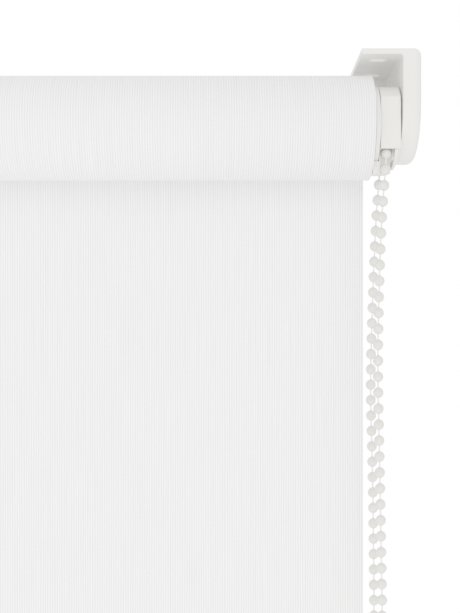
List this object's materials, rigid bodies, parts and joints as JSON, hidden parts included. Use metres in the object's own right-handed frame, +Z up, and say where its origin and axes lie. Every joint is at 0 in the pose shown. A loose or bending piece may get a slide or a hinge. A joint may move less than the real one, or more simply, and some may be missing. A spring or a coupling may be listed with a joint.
{
  "type": "roller blind",
  "caption": "Chain-operated roller blind: a fabric roll on a tube between two end brackets, with a bead-chain clutch, a spring-loaded idle pin and a weighted hem.",
  "frame": {"origin": "centre of the four ceiling screw slots, on the brackets' top faces", "axes": "+X along the roller towards the chain side, +Y towards the wall or window, +Z up"},
  "size_m": [0.6, 0.0481, 0.6294],
  "materials": {
    "bracket_plastic": "smooth moulded, low sheen, warm off-white",
    "clutch_plastic": "smooth moulded nylon, low sheen",
    "chain_plastic": "polished moulded beads",
    "chain_cord": "braided polyester cord",
    "spring_steel": "drawn wire",
    "aluminium": "mill finish extrusion",
    "blind_fabric": "plain weave with fine uneven vertical slubs",
    "strip_plastic": "extruded"
  },
  "bodies": {
    "brackets": {"right_bracket": "bracket_plastic", "left_bracket": "bracket_plastic", "pin_bush": "clutch_plastic", "clutch_base": "clutch_plastic", "clutch_spindle": "clutch_plastic", "retaining_clip": "spring_steel", "chain_guard": "bracket_plastic", "chain_guide": "clutch_plastic", "chain_cord": "chain_cord", "cord_over_wheel": "chain_cord", "chain_beads": "chain_plastic", "wheel_beads": "chain_plastic", "chain_connector": "chain_plastic"},
    "chain_wheel": {"chain_wheel": "clutch_plastic", "wrap_spring_inner": "spring_steel", "wrap_spring_outer": "spring_steel"},
    "roller": {"clutch_crown": "clutch_plastic", "tube": "aluminium", "fabric_strip": "strip_plastic", "fabric_roll": "blind_fabric", "idle_plug": "clutch_plastic", "plug_cap": "clutch_plastic", "idle_spring": "spring_steel"},
    "idle_pin": {"idle_pin": "clutch_plastic"},
    "hem": {"fabric_sheet": "blind_fabric", "hem_pocket": "blind_fabric", "hem_bar": "aluminium", "hem_cap_left": "clutch_plastic", "hem_cap_right": "clutch_plastic"}
  },
  "joints": [
    {"name": "blind_raise", "type": "slide", "parent": "brackets", "child": "hem", "axis": [0, 0, 1], "range_m": [0, 0.53658], "deforming": ["fabric_sheet"]},
    {"name": "roller_turn", "type": "hinge", "parent": "brackets", "child": "roller", "pos_m": [0, -0.0066, -0.0292], "axis": [1, 0, 0], "range_deg": [0, 1440]},
    {"name": "wheel_turn", "type": "hinge", "parent": "brackets", "child": "chain_wheel", "pos_m": [0, -0.0066, -0.0292], "axis": [1, 0, 0], "range_deg": [0, 1440], "deforming": ["chain_cord", "chain_beads", "wheel_beads", "cord_over_wheel"]},
    {"name": "pin_press", "type": "slide", "parent": "roller", "child": "idle_pin", "axis": [1, 0, 0], "range_m": [0, 0.006], "stiffness_N_per_m": 600, "springref_m": -0.005, "deforming": ["idle_spring"]}
  ],
  "couplings": [
    {"joint": "roller_turn", "follows": "blind_raise", "rad_per_m": 46.838},
    {"joint": "wheel_turn", "follows": "blind_raise", "rad_per_m": 46.838}
  ]
}
